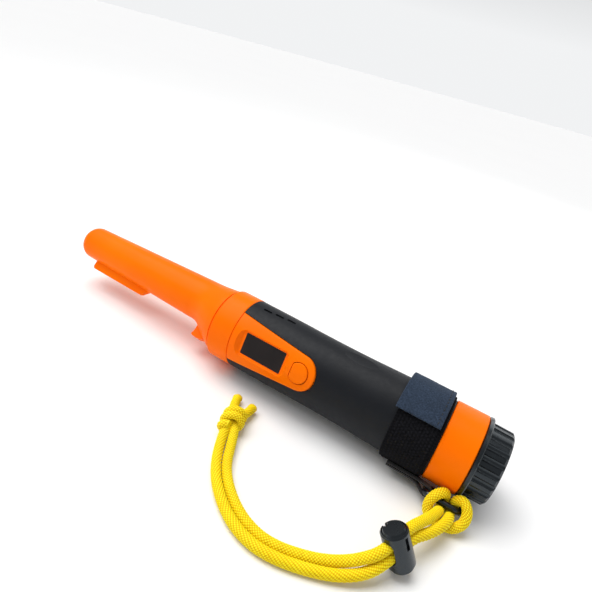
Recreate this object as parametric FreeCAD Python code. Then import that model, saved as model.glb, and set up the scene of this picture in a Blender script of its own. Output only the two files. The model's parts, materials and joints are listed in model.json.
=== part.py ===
import FreeCAD, Part
import os, math
from FreeCAD import Vector as V

# Handheld pinpointer probe.  Millimetres.  The probe lies along X, tip towards -X,
# battery cap towards +X; +Z is up and the strap rests on z = 0.
# Everything is first built in an axis frame: "a" runs along X from the tip (a = 0)
# to the cap's end (a = LENGTH), with the handle's axis on y = 0, z = 0.  The last
# step moves it by (-LENGTH/2, 0, AXIS_H).
# An angle about the handle is measured from -Y towards +Z.

# ------------------------------------------------------------------ dimensions
LENGTH = 261.4          # tip to cap end
AXIS_H = 20.55          # height of the handle's axis, equal to the strap's outer radius
# tip tube (eccentric to the handle)
TUBE_Y, TUBE_Z = 2.65, 3.64
TUBE_R0, TUBE_TAPER = 9.55, 0.0297   # radius = R0 + taper * a
TUBE_END = 88.0
NOSE = 6.0
WALL = 1.8
# scraper blade under the tip tube
BLADE_ANG = -52.0
BLADE_A0, BLADE_A1 = 13.5, 55.5
BLADE_R = 14.6
BLADE_T = 3.2
# flare and collar
COLLAR_A0, COLLAR_A1, COLLAR_R = 111.7, 124.4, 19.3
# core tube under the rubber sleeve
CORE_R, CORE_IN, CORE_END = 17.0, 15.6, 240.6
# display panel
PAN_ANG = 19.0
PAN_W0, PAN_EC, PAN_ER, PAN_R = 13.0, 164.6, 8.8, 19.55
SCR_A0, SCR_A1, SCR_W = 131.9, 155.3, 5.6
SCR_D = 17.5            # distance of the window's face from the axis
BTN_A, BTN_R, BTN_FLAT = 164.7, 5.1, 160.9
BTN_TRAVEL = 0.6
# rear ring and cap
RING_A0, RING_A1, RING_R = 234.2, 249.3, 19.35
MOUTH_R = 15.95
FLANGE_A1, FLANGE_R = 251.6, 19.45
CAP_R, CAP_FLUTES, FLUTE_R = 17.65, 22, 1.7
SPIG_A0, SPIG_R = 242.5, 15.87
# strap
BAND_A0, BAND_A1, BAND_R0, BAND_R1 = 213.0, 233.4, 19.0, 20.55
FLAP_A0, FLAP_A1, FLAP_R0, FLAP_R1 = 211.6, 232.4, 20.87, 22.2
FLAP_TH0, FLAP_TH1 = 44.0, 150.0
# lanyard ring
DR_ROD = 1.5
DR_P0, DR_P1, DR_Q = 238.2, 250.2, 5.5
DR_Y, DR_Z = -17.6, 4.6 - 20.55
DR_VY, DR_VZ = -0.872, 0.4895
# cord
CORD_D = 4.3
# cord lock
LOCK_R, LOCK_BORE, LOCK_LEN = 5.4, 4.7, 16.4
PLUN_R, PLUN_TOP, PLUN_TRAVEL = 4.6, 16.9, 1.8
LOCK_BASE = (110.1, -58.6, 2.86)       # row frame
LOCK_AX = (-0.52, 0.0, 0.8542)
# battery
BAT_A0, BAT_L, BAT_W, BAT_T = 193.4, 48.5, 26.5, 17.5

SHIFT = V(-LENGTH / 2, 0, AXIS_H)
os.makedirs("parts", exist_ok=True)
made = []


def put(name, shape, moved=True):
    s = shape.copy()
    if moved:
        s.translate(SHIFT)
    if not s.isValid():
        s.fix(1e-4, 1e-4, 1e-4)
    print("%-20s valid %s solids %d volume %.1f" % (name, s.isValid(), len(s.Solids), s.Volume))
    for so in s.Solids:
        if not so.isClosed():
            print("   open solid in", name)
    s.exportStep("parts/%s.step" % name)
    made.append(name)
    return s


def cyl(r, a0, a1, y=0.0, z=0.0):
    return Part.makeCylinder(r, a1 - a0, V(a0, y, z), V(1, 0, 0))


def rad(th):
    t = math.radians(th)
    return V(0, -math.cos(t), math.sin(t))


def tan(th):
    t = math.radians(th)
    return V(0, math.sin(t), math.cos(t))


def turned(points, y=0.0, z=0.0, smooth=None):
    """Solid of revolution about the line y, z along X; points are (a, r)."""
    pts = [V(a, y, z + r) for a, r in points]
    edges = []
    if smooth:
        i0, i1 = smooth
        for i in range(0, i0):
            edges.append(Part.makeLine(pts[i], pts[i + 1]))
        c = Part.BSplineCurve()
        c.interpolate(pts[i0:i1 + 1])
        edges.append(c.toShape())
        for i in range(i1, len(pts) - 1):
            edges.append(Part.makeLine(pts[i], pts[i + 1]))
    else:
        for i in range(len(pts) - 1):
            edges.append(Part.makeLine(pts[i], pts[i + 1]))
    edges.append(Part.makeLine(pts[-1], pts[0]))
    face = Part.Face(Part.Wire(edges))
    return face.revolve(V(0, y, z), V(1, 0, 0), 360)


def prism(outline, th, d0, d1, y=0.0, z=0.0):
    """Prism of a wire given by (a, w) points, square to the direction th, from d0 to d1."""
    n, t = rad(th), tan(th)
    pts = [V(a, y, z) + t * w + n * d0 for a, w in outline]
    wire = Part.makePolygon(pts + [pts[0]])
    return Part.Face(wire).extrude(n * (d1 - d0))


def box(a0, a1, w0, w1, d0, d1, th=PAN_ANG):
    return prism([(a0, w0), (a1, w0), (a1, w1), (a0, w1)], th, d0, d1)


def rbox(a0, a1, w0, w1, d0, d1, r, th=PAN_ANG):
    """Box with its four corners (seen along th) rounded."""
    n, t = rad(th), tan(th)
    P = lambda a, w: V(a, 0, 0) + t * w + n * d0
    k = r * (1 - math.sqrt(0.5))
    e = [Part.makeLine(P(a0 + r, w0), P(a1 - r, w0)),
         Part.Arc(P(a1 - r, w0), P(a1 - k, w0 + k), P(a1, w0 + r)).toShape(),
         Part.makeLine(P(a1, w0 + r), P(a1, w1 - r)),
         Part.Arc(P(a1, w1 - r), P(a1 - k, w1 - k), P(a1 - r, w1)).toShape(),
         Part.makeLine(P(a1 - r, w1), P(a0 + r, w1)),
         Part.Arc(P(a0 + r, w1), P(a0 + k, w1 - k), P(a0, w1 - r)).toShape(),
         Part.makeLine(P(a0, w1 - r), P(a0, w0 + r)),
         Part.Arc(P(a0, w0 + r), P(a0 + k, w0 + k), P(a0 + r, w0)).toShape()]
    return Part.Face(Part.Wire(e)).extrude(n * (d1 - d0))


def rwire(a0, a1, w0, w1, d, r, th=PAN_ANG):
    n, t = rad(th), tan(th)
    P = lambda a, w: V(a, 0, 0) + t * w + n * d
    k = r * (1 - math.sqrt(0.5))
    e = [Part.makeLine(P(a0 + r, w0), P(a1 - r, w0)),
         Part.Arc(P(a1 - r, w0), P(a1 - k, w0 + k), P(a1, w0 + r)).toShape(),
         Part.makeLine(P(a1, w0 + r), P(a1, w1 - r)),
         Part.Arc(P(a1, w1 - r), P(a1 - k, w1 - k), P(a1 - r, w1)).toShape(),
         Part.makeLine(P(a1 - r, w1), P(a0 + r, w1)),
         Part.Arc(P(a0 + r, w1), P(a0 + k, w1 - k), P(a0, w1 - r)).toShape(),
         Part.makeLine(P(a0, w1 - r), P(a0, w0 + r)),
         Part.Arc(P(a0, w0 + r), P(a0 + k, w0 + k), P(a0 + r, w0)).toShape()]
    return Part.Wire(e)


def tongue(grow, d0, d1):
    """Prism of the display panel's outline: a taper that ends in a round."""
    n, t = rad(PAN_ANG), tan(PAN_ANG)
    r = PAN_ER + grow
    w0 = PAN_W0 + grow
    a0 = COLLAR_A1 - 1.0
    P = lambda a, w: V(a, 0, 0) + t * w + n * d0
    # the taper's side meets the round where they are tangent
    dx, dy = PAN_EC - a0, -w0
    dist = math.hypot(dx, dy)
    base = math.atan2(dy, dx)
    off = math.asin(r / dist)
    ang = base + off
    L = math.sqrt(dist * dist - r * r)
    ta, tw = a0 + L * math.cos(ang), w0 + L * math.sin(ang)
    e = [Part.makeLine(P(a0, -w0), P(ta, -tw)),
         Part.Arc(P(ta, -tw), P(PAN_EC + r, 0), P(ta, tw)).toShape(),
         Part.makeLine(P(ta, tw), P(a0, w0)),
         Part.makeLine(P(a0, w0), P(a0, -w0))]
    return Part.Face(Part.Wire(e)).extrude(n * (d1 - d0))


def dee(grow, d0, d1):
    """Prism of the button's outline: a round with its flat towards the display."""
    n, t = rad(PAN_ANG), tan(PAN_ANG)
    r, fl = BTN_R + grow, BTN_FLAT - grow
    h = math.sqrt(r * r - (BTN_A - fl) ** 2)
    P = lambda a, w: V(a, 0, 0) + t * w + n * d0
    e = [Part.Arc(P(fl, -h), P(BTN_A + r, 0), P(fl, h)).toShape(), Part.makeLine(P(fl, h), P(fl, -h))]
    return Part.Face(Part.Wire(e)).extrude(n * (d1 - d0))


def sector(r0, r1, a0, a1, th0, th1):
    """Part of a ring about the handle's axis, from angle th0 to th1."""
    p = []
    for r in (r0, r1):
        p.append([V(a0, 0, 0) + rad(th) * r for th in (th0, (th0 + th1) / 2, th1)])
    e = [Part.Arc(*p[0]).toShape(), Part.makeLine(p[0][2], p[1][2]), Part.Arc(*p[1]).toShape(), Part.makeLine(p[1][0], p[0][0])]
    f = Part.Face(Part.Wire(Part.__sortEdges__(e)))
    return f.extrude(V(a1 - a0, 0, 0))


def circle_wire(a, y, z, r):
    return Part.Wire([Part.Circle(V(a, y, z), V(1, 0, 0), r).toShape()])


# ------------------------------------------------------------------ probe shell
def tube_r(a):
    return TUBE_R0 + TUBE_TAPER * a


def tip(inset):
    """Round-nosed tapered tube as a solid, shrunk by inset."""
    r0 = tube_r(NOSE) - inset
    c = NOSE
    flat = r0 - (NOSE - inset)
    p0 = V(inset, TUBE_Y, TUBE_Z)
    p1 = V(inset, TUBE_Y, TUBE_Z + flat)
    k = (NOSE - inset) * math.sqrt(0.5)
    pm = V(c - k, TUBE_Y, TUBE_Z + flat + k)
    p2 = V(c, TUBE_Y, TUBE_Z + r0)
    p3 = V(TUBE_END, TUBE_Y, TUBE_Z + tube_r(TUBE_END) - inset)
    p4 = V(TUBE_END, TUBE_Y, TUBE_Z)
    e = [Part.makeLine(p0, p1), Part.Arc(p1, pm, p2).toShape(), Part.makeLine(p2, p3), Part.makeLine(p3, p4), Part.makeLine(p4, p0)]
    return Part.Face(Part.Wire(e)).revolve(V(0, TUBE_Y, TUBE_Z), V(1, 0, 0), 360)


def flare(inset):
    # (a, share of the tube's offset, radius)
    st = [(88.0, 1.0, tube_r(88.0)), (93.0, 0.98, 12.4), (97.0, 0.80, 13.3), (101.0, 0.52, 14.8),
          (105.0, 0.28, 16.3), (108.5, 0.10, 17.5), (COLLAR_A0 + 0.3, 0.0, 18.15)]
    w = [circle_wire(a, TUBE_Y * k, TUBE_Z * k, r - inset) for a, k, r in st]
    return Part.makeLoft(w, True, False)


def stadium(a, th, half, r, d0, d1):
    """Round-ended bar along a, at angle th about the handle."""
    n, t = rad(th), tan(th)
    P = lambda u, w: V(a + u, 0, 0) + t * w + n * d0
    e = [Part.makeLine(P(-half, -r), P(half, -r)), Part.Arc(P(half, -r), P(half + r, 0), P(half, r)).toShape(),
         Part.makeLine(P(half, r), P(-half, r)), Part.Arc(P(-half, r), P(-half - r, 0), P(-half, -r)).toShape()]
    return Part.Face(Part.Wire(e)).extrude(n * (d1 - d0))


def build_shell():
    outer = tip(0.0)
    fl = flare(0.0)
    outer = outer.fuse(fl)
    collar = turned([(COLLAR_A0, 0), (COLLAR_A0, COLLAR_R - 0.5), (COLLAR_A0 + 0.2, COLLAR_R - 0.15), (COLLAR_A0 + 0.6, COLLAR_R),
                     (COLLAR_A1 - 0.5, COLLAR_R), (COLLAR_A1, COLLAR_R - 0.3), (COLLAR_A1, 0)])
    core = cyl(CORE_R, COLLAR_A1 - 0.5, CORE_END)
    outer = outer.fuse(collar).fuse(core)
    # scraper blade
    b = [(BLADE_A0, 6.0), (BLADE_A0, BLADE_R - 1.6), (BLADE_A0 + 0.5, BLADE_R - 0.45), (BLADE_A0 + 1.6, BLADE_R),
         (BLADE_A1 - 3.6, BLADE_R + 0.5), (BLADE_A1 - 2.2, BLADE_R - 0.1), (BLADE_A1 + 1.5, BLADE_R - 3.6), (BLADE_A1 + 1.5, 6.0)]
    n, t = rad(BLADE_ANG), tan(BLADE_ANG)
    o = V(0, TUBE_Y, TUBE_Z)
    pts = [o + V(a, 0, 0) + n * d - t * (BLADE_T / 2) for a, d in b]
    blade = Part.Face(Part.makePolygon(pts + [pts[0]])).extrude(t * BLADE_T)
    outer = outer.fuse(blade)
    # finger stop under the flare, in line with the blade
    b = [(97.2, 8.0), (97.2, 13.2), (96.6, 15.2), (97.6, 15.9), (101.5, 16.0), (104.5, 15.2), (104.5, 8.0)]
    n, t = rad(BLADE_ANG + 6), tan(BLADE_ANG + 6)
    pts = [V(a, 0, 0) + n * d - t * 2.6 for a, d in b]
    outer = outer.fuse(Part.Face(Part.makePolygon(pts + [pts[0]])).extrude(t * 5.2))
    # display panel on the core
    skin = turned([(COLLAR_A1 - 1, CORE_R - 0.6), (COLLAR_A1 - 1, COLLAR_R - 0.05), (COLLAR_A1 + 6, PAN_R), (175, PAN_R), (175, CORE_R - 0.6)])
    panel = tongue(0.0, 6.0, 24.0).common(skin)
    try:
        edges = []
        for e in panel.Edges:
            m = e.valueAt((e.FirstParameter + e.LastParameter) / 2)
            rr = math.hypot(m.y, m.z)
            if rr > PAN_R - 0.25 and m.x > COLLAR_A1 + 1:
                edges.append(e)
        soft = panel.makeFillet(0.7, edges)
        if soft.isValid() and soft.Volume > 0.9 * panel.Volume:
            panel = soft
        print("panel edge rounded", soft.isValid())
    except Exception as ex:
        print("panel edge left sharp", ex)
    outer = outer.fuse(panel)
    # fine grooves before the collar, and between the collar and the panel
    outer = outer.cut(cyl(24.0, COLLAR_A0 - 1.15, COLLAR_A0).cut(cyl(17.45, COLLAR_A0 - 2, COLLAR_A0 + 2)))
    outer = outer.cut(cyl(24.0, COLLAR_A1, COLLAR_A1 + 0.5).cut(cyl(18.7, COLLAR_A1 - 1, COLLAR_A1 + 2)))
    # hollow inside
    inner = tip(WALL).fuse(flare(WALL)).fuse(cyl(CORE_IN, COLLAR_A0 - 1.0, CORE_END + 1.0))
    s = outer.cut(inner)
    # bevelled recess round the display
    lo = rwire(SCR_A0 - 1.2, SCR_A1 + 1.0, -SCR_W - 0.6, SCR_W + 0.6, SCR_D, 1.6)
    hi = rwire(SCR_A0 - 5.4, SCR_A1 + 3.4, -SCR_W - 2.6, SCR_W + 2.6, SCR_D + 3.2, 4.2)
    s = s.cut(Part.makeLoft([lo, hi], True, True))
    # window seat and display opening
    s = s.cut(rbox(SCR_A0 - 0.02, SCR_A1 + 0.02, -SCR_W - 0.02, SCR_W + 0.02, SCR_D - 1.2, SCR_D + 1, 0.5))
    s = s.cut(box(SCR_A0 + 1.2, SCR_A1 - 1.2, -SCR_W + 1.0, SCR_W - 1.0, 12.5, SCR_D))
    # button hole
    s = s.cut(dee(0.38, 12.0, 24.0))
    return s


shell = build_shell()
if len(shell.Solids) > 1:
    big = max(shell.Solids, key=lambda q: q.Volume)
    print("shell pieces", [round(q.Volume, 2) for q in shell.Solids])
    shell = big
put("probe_shell", shell)

# ------------------------------------------------------------------ rubber sleeve
prof = [(COLLAR_A1 + 0.25, 19.15), (131.0, 19.05), (138.0, 19.0), (146.0, 18.9), (154.0, 18.75), (162.0, 18.55), (170.5, 18.42),
        (179.0, 18.36), (187.0, 18.38), (194.5, 18.48), (202.0, 18.64), (210.0, 18.78), (222.0, 18.85), (RING_A0 - 0.25, 18.88)]
pts = [(prof[0][0], CORE_R + 0.02)] + prof + [(prof[-1][0], CORE_R + 0.02)]
sleeve = turned(pts, smooth=(1, len(prof)))
sleeve = sleeve.cut(tongue(0.35, 4.0, 26.0))
# three small grille slots on the upper side
for i, (a, th) in enumerate([(133.4, 86.5), (140.2, 89.0), (146.9, 91.5)]):
    sleeve = sleeve.cut(stadium(a, th, 1.7, 0.8, 18.25, 24))
# shallow thumb dish on the upper side
dish = Part.makeSphere(26.0)
m = FreeCAD.Matrix()
m.scale(1.6, 1.0, 1.0)
dish = dish.transformGeometry(m)
c = V(187.0, 0, 0) + rad(88.0) * (18.36 + 26.0 - 0.55)
dish.translate(c)
sleeve = sleeve.cut(dish)
put("grip_sleeve", sleeve)

# ------------------------------------------------------------------ display and button
put("display_window", rbox(SCR_A0, SCR_A1, -SCR_W, SCR_W, SCR_D - 1.18, SCR_D - 0.02, 0.5))
disp = box(SCR_A0 - 2.0, SCR_A1 + 3.0, -5.6, 5.6, 11.6, 12.8).fuse(box(SCR_A0 + 0.6, SCR_A1 - 0.6, -5.0, 5.0, 12.8, 14.2))
put("display_module", disp)

btn = dee(0.0, 14.0, 24.0).common(cyl(PAN_R + 0.55, 150, 180))
try:
    bn = rad(PAN_ANG)
    be = [e for e in btn.Edges if (lambda m: m.y * bn.y + m.z * bn.z)(e.valueAt((e.FirstParameter + e.LastParameter) / 2)) > PAN_R - 0.4 and
          (lambda d: abs(d.y * bn.y + d.z * bn.z))(e.tangentAt((e.FirstParameter + e.LastParameter) / 2)) < 0.7]
    sb_ = btn.makeFillet(0.5, be)
    if sb_.isValid() and len(sb_.Solids) == 1:
        btn = sb_
    print("button edge rounded", sb_.isValid(), len(be))
except Exception as ex:
    print("button edge left sharp", ex)
btn = btn.fuse(dee(0.75, 13.1, 14.2))
put("power_button", btn)
put("button_membrane", rbox(BTN_A - 5.9, BTN_A + 6.0, -5.2, 5.2, 11.3, 12.4, 1.2))
sw = rbox(BTN_A - 3.0, BTN_A + 3.0, -3.0, 3.0, 8.2, 10.6, 0.5)
stem = Part.makeCylinder(1.6, 0.7, V(BTN_A, 0, 0) + rad(PAN_ANG) * 10.6, rad(PAN_ANG))
put("tact_switch", sw.fuse(stem))

# ------------------------------------------------------------------ electronics
board = rbox(114.0, 172.0, -12.0, 12.0, 6.6, 8.2, 1.5)
post_xy = [(117.5, -9.0), (117.5, 9.0), (168.0, -9.0), (168.0, 9.0)]
for a, w in post_xy:
    p = V(a, 0, 0) + tan(PAN_ANG) * w
    board = board.cut(Part.makeCylinder(1.1, 3, p + rad(PAN_ANG) * 6.0, rad(PAN_ANG)))
put("main_board", board)
chips = box(122.0, 129.0, -3.5, 3.5, 8.2, 9.2)
chips = chips.fuse(box(176.0 - 38, 142.5, -8.5, -5.5, 8.2, 9.6))
chips = chips.fuse(box(147.0, 152.0, 5.0, 9.5, 8.2, 10.2))
chips = chips.fuse(Part.makeCylinder(2.5, 3.2, V(154.0, 0, 0) + tan(PAN_ANG) * (-7.5) + rad(PAN_ANG) * 8.2, rad(PAN_ANG)))
chips = chips.fuse(box(132.5, 136.0, 4.0, 8.5, 8.2, 9.4))
put("board_components", chips)

tray = box(113.0, 176.0, -12.5, 12.5, 3.6, 5.2)
for a, w in post_xy:
    p = V(a, 0, 0) + tan(PAN_ANG) * w
    tray = tray.fuse(Part.makeCylinder(2.4, 1.4, p + rad(PAN_ANG) * 5.2, rad(PAN_ANG)))
tray = tray.fuse(cyl(15.3, 174.5, 176.5).cut(cyl(3.0, 174.0, 177.0, 0, 0).translated(tan(PAN_ANG) * 9.0)))
MOT = rad(PAN_ANG) * (-1.2)
saddle = box(147.5, 160.5, -4.8, 4.8, -1.2, 3.6).cut(cyl(3.55, 140, 165, MOT.y, MOT.z))
tray = tray.fuse(saddle)
for a, w in post_xy:
    p = V(a, 0, 0) + tan(PAN_ANG) * w
    tray = tray.cut(Part.makeCylinder(0.82, 6.0, p + rad(PAN_ANG) * 2.0, rad(PAN_ANG)))
put("chassis_tray", tray)

scr = None
for a, w in post_xy:
    p = V(a, 0, 0) + tan(PAN_ANG) * w
    s1 = Part.makeCylinder(0.8, 4.6, p + rad(PAN_ANG) * 3.7, rad(PAN_ANG)).fuse(Part.makeCylinder(1.9, 1.2, p + rad(PAN_ANG) * 8.22, rad(PAN_ANG)))
    slot = box(a - 1.6, a + 1.6, w - 0.3, w + 0.3, 8.95, 10.0)
    s1 = s1.cut(slot)
    scr = s1 if scr is None else scr.fuse(s1)
put("board_screws", scr)

n0, t0 = rad(PAN_ANG), tan(PAN_ANG)
buz = Part.makeCylinder(6.0, 5.6, V(127.0, 0, 0) - n0 * 2.0, n0)
buz = buz.cut(Part.makeCylinder(1.0, 2.0, V(127.0, 0, 0) - n0 * 2.2, n0))
put("buzzer", buz)
put("vibration_motor", cyl(3.5, 148.0, 160.0, MOT.y, MOT.z).fuse(cyl(0.5, 160.0, 166.4, MOT.y, MOT.z)))
wt = cyl(3.0, 161.4, 165.4, MOT.y, MOT.z)
half = prism([(160.0, -4), (167.0, -4), (167.0, 4), (160.0, 4)], PAN_ANG, -1.2 + 0.9, 6.0)
wt = wt.cut(half).cut(cyl(0.55, 160, 167, MOT.y, MOT.z))
put("motor_weight", wt)

# ------------------------------------------------------------------ search coil in the tip
T = (TUBE_Y, TUBE_Z)
put("ferrite_rod", cyl(4.0, 6.0, 82.0, *T))
form = cyl(5.0, 9.0, 79.0, *T)
for a in (16.0, 36.0, 50.0, 72.0):
    form = form.fuse(cyl(7.0, a - 0.6, a + 0.6, *T))
put("coil_former", form.cut(cyl(4.03, 5.0, 90.0, *T)))
put("coil_windings", cyl(6.5, 16.7, 35.3, *T).fuse(cyl(6.5, 50.7, 71.3, *T)).cut(cyl(5.02, 10, 80, *T)))


def cushion(a0, a1):
    c0 = turned([(a0, 4.05), (a0, tube_r(a0) - WALL - 0.05), (a1, tube_r(a1) - WALL - 0.05), (a1, 4.05)], *T)
    return c0


rings = cushion(6.5, 8.8).fuse(cushion(79.2, 82.0))
put("coil_cushions", rings)


def wire_path(points, r):
    """Round wire along straight runs joined by tangent arcs."""
    pts = [V(*p) for p in points]
    edges, prev, radii = [], pts[0], []
    for i in range(1, len(pts) - 1):
        u = (pts[i] - pts[i - 1])
        v = (pts[i + 1] - pts[i])
        lu, lv = u.Length, v.Length
        u.normalize()
        v.normalize()
        ang = u.getAngle(v)
        if ang < 1e-4:
            raise ValueError("three points in line at %d" % i)
        cut = 0.45 * min(lu, lv)
        R = cut / math.tan(ang / 2)
        radii.append(R)
        p1, p2 = pts[i] - u * cut, pts[i] + v * cut
        bis = (v - u)
        bis.normalize()
        cen = pts[i] + bis * (R / math.cos(ang / 2))
        mid = cen - bis * R
        edges.append(Part.LineSegment(prev, p1).toShape())
        edges.append(Part.Arc(p1, mid, p2).toShape())
        prev = p2
    edges.append(Part.LineSegment(prev, pts[-1]).toShape())
    path = Part.Wire(edges)
    d0 = pts[1] - pts[0]
    prof_w = Part.Wire([Part.Circle(pts[0], d0, r).toShape()])
    sol = path.makePipeShell([prof_w], True, False)
    return sol, path.Length, radii, path


# leads from the coil to the board
w1, _, _, _ = wire_path([(82.3, 2.6, 6.0), (92, 1.5, 7.5), (102, -1.5, 7.0), (113.5, -5.0, 6.5)], 0.45)
w2, _, _, _ = wire_path([(82.3, 3.8, 5.0), (92, 3.4, 5.0), (102, 1.0, 4.6), (113.5, -1.6, 4.2)], 0.45)
put("coil_leads", w1.fuse(w2))

# ------------------------------------------------------------------ battery compartment
bat = rbox(BAT_A0, BAT_A0 + BAT_L, -BAT_W / 2, BAT_W / 2, -BAT_T / 2, BAT_T / 2, 0.6)
sel = [e for e in bat.Edges if abs(e.BoundBox.XLength - (BAT_L - 1.2)) < 0.4]
try:
    b2 = bat.makeFillet(2.0, sel)
    if b2.isValid():
        bat = b2
except Exception as ex:
    print("battery edges", ex)
bat = bat.common(cyl(15.35, BAT_A0 - 1, BAT_A0 + BAT_L + 1))
put("battery", bat)
tm = tan(PAN_ANG) * 6.35
term = cyl(2.9, BAT_A0 - 2.4, BAT_A0, tm.y, tm.z).fuse(cyl(3.7, BAT_A0 - 2.4, BAT_A0, -tm.y, -tm.z))
put("battery_terminals", term)
snap = rbox(BAT_A0 - 5.4, BAT_A0 - 0.3, -12.4, 12.4, -5.6, 5.6, 1.2)
snap = snap.cut(cyl(2.95, BAT_A0 - 2.5, BAT_A0, tm.y, tm.z)).cut(cyl(3.75, BAT_A0 - 2.5, BAT_A0, -tm.y, -tm.z))
put("battery_snap", snap)
l1, _, _, _ = wire_path([(BAT_A0 - 5.4, 3.0, 3.0), (183.0, 5.6, 4.4), (179.0, 7.0, 6.5), (170.0, 5.9, 7.6)], 0.7)
o9 = tan(PAN_ANG) * 9.0
l1, _, _, _ = wire_path([(BAT_A0 - 5.4, o9.y - 1.0, o9.z - 3.0), (183.0, o9.y - 1.4, o9.z - 2.2), (178.5, o9.y - 1.0, o9.z), (173.0, o9.y - 0.9, o9.z + 0.4)], 0.65)
l2, _, _, _ = wire_path([(BAT_A0 - 5.4, o9.y + 2.0, o9.z - 3.4), (183.0, o9.y + 1.8, o9.z - 2.0), (178.5, o9.y + 0.9, o9.z), (173.0, o9.y + 1.0, o9.z + 0.3)], 0.65)
put("battery_leads", l1.fuse(l2))

ring = turned([(RING_A0, CORE_R + 0.03), (RING_A0, RING_R - 0.35), (RING_A0 + 0.35, RING_R), (RING_A1 - 0.35, RING_R), (RING_A1, RING_R - 0.35),
               (RING_A1, MOUTH_R + 0.5), (RING_A1 - 0.5, MOUTH_R), (CORE_END + 0.1, MOUTH_R), (CORE_END + 0.1, CORE_R + 0.03)])
put("rear_ring", ring)

cap = turned([(RING_A1 + 0.15, 0), (RING_A1 + 0.15, FLANGE_R - 0.5), (RING_A1 + 0.55, FLANGE_R), (FLANGE_A1 - 0.45, FLANGE_R), (FLANGE_A1, FLANGE_R - 0.5),
              (FLANGE_A1, CAP_R), (LENGTH - 1.0, CAP_R - 0.25), (LENGTH, CAP_R - 1.3), (LENGTH, 0)])
flutes = None
for i in range(CAP_FLUTES):
    th = (i + 0.5) * 360.0 / CAP_FLUTES
    c0 = rad(th) * (CAP_R + 0.57)
    f = Part.makeCylinder(FLUTE_R, LENGTH - FLANGE_A1 + 2, V(FLANGE_A1 + 0.25, c0.y, c0.z), V(1, 0, 0))
    flutes = f if flutes is None else flutes.fuse(f)
cap = cap.cut(flutes)
spig = cyl(SPIG_R, SPIG_A0, RING_A1 + 0.6)
cap = cap.fuse(spig)
cap = cap.cut(cyl(13.2, SPIG_A0 - 1, LENGTH - 2.6))
cap = cap.cut(cyl(SPIG_R + 1, 245.6, 247.6).cut(cyl(14.15, 245, 248)))
# shallow dish in the end face
cap = cap.cut(turned([(LENGTH - 0.6, 0), (LENGTH - 0.6, 12.6), (LENGTH + 0.1, 13.4), (LENGTH + 0.1, 0)]))
put("battery_cap", cap)
seal = Part.makeTorus(15.03, 0.86, V(246.6, 0, 0), V(1, 0, 0))
put("cap_seal", seal)
put("cap_pad", cyl(11.0, BAT_A0 + BAT_L + 0.2, LENGTH - 2.62))

# ------------------------------------------------------------------ wrist strap
put("strap_band", cyl(BAND_R1, BAND_A0, BAND_A1).cut(cyl(BAND_R0, BAND_A0 - 1, BAND_A1 + 1)))
# The flap ends in a half-round fold, and turns about the fold's middle.
FOLD_TH, FOLD_R, FOLD_E = FLAP_TH1 + 0.6, (FLAP_R0 + FLAP_R1) / 2, (FLAP_R1 - FLAP_R0) / 2
fi = [V(FLAP_A0, 0, 0) + rad(th) * FLAP_R0 for th in (FLAP_TH0, (FLAP_TH0 + FOLD_TH) / 2, FOLD_TH)]
fo = [V(FLAP_A0, 0, 0) + rad(th) * FLAP_R1 for th in (FLAP_TH0, (FLAP_TH0 + FOLD_TH) / 2, FOLD_TH)]
fm = V(FLAP_A0, 0, 0) + rad(FOLD_TH) * FOLD_R + tan(FOLD_TH) * FOLD_E
fe = [Part.Arc(*fi).toShape(), Part.Arc(fi[2], fm, fo[2]).toShape(), Part.Arc(*fo).toShape(), Part.makeLine(fo[0], fi[0])]
put("strap_flap", Part.Face(Part.Wire(Part.__sortEdges__(fe))).extrude(V(FLAP_A1 - FLAP_A0, 0, 0)))
put("strap_root", sector(BAND_R1 + 0.02, FLAP_R1, FLAP_A0, FLAP_A1, FOLD_TH + 2.2, FLAP_TH1 + 24))


def dpl(p, q, k=0.0):
    """Point in the lanyard ring's plane; k is the distance off the plane, away from the handle."""
    return V(p, DR_Y + DR_VY * q - DR_VZ * k, DR_Z + DR_VZ * q + DR_VY * k)


q = DR_Q
c1 = 2.2
kk = c1 * (1 - math.sqrt(0.5))
de = [Part.makeLine(dpl(DR_P0, -q + c1), dpl(DR_P0, q - c1)),
      Part.Arc(dpl(DR_P0, q - c1), dpl(DR_P0 + kk, q - kk), dpl(DR_P0 + c1, q)).toShape(),
      Part.makeLine(dpl(DR_P0 + c1, q), dpl(DR_P1, q)),
      Part.Arc(dpl(DR_P1, q), dpl(DR_P1 + q, 0), dpl(DR_P1, -q)).toShape(),
      Part.makeLine(dpl(DR_P1, -q), dpl(DR_P0 + c1, -q)),
      Part.Arc(dpl(DR_P0 + c1, -q), dpl(DR_P0 + kk, -q + kk), dpl(DR_P0, -q + c1)).toShape()]
dw = Part.Wire(de)
pr = Part.Wire([Part.Circle(dpl(DR_P0, 0), dpl(0, 1) - dpl(0, 0), DR_ROD).toShape()])
# start the sweep in the middle of the straight bar
de2 = [Part.makeLine(dpl(DR_P0, 0), dpl(DR_P0, q - c1))] + de[1:] + [Part.makeLine(dpl(DR_P0, -q + c1), dpl(DR_P0, 0))]
dring = Part.Wire(de2).makePipeShell([pr], True, False)
put("lanyard_ring", dring)

# webbing tab: two layers sewn to the band, folded round the ring's straight bar
tw = 3.3


def sect(p, y, z, h):
    v = V(0, DR_VY, DR_VZ)
    k = V(0, -DR_VZ, DR_VY)
    c0 = V(p, y, z)
    pts = [c0 + v * tw + k * h, c0 - v * tw + k * h, c0 - v * tw - k * h, c0 + v * tw - k * h]
    return Part.makePolygon(pts + [pts[0]])


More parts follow.
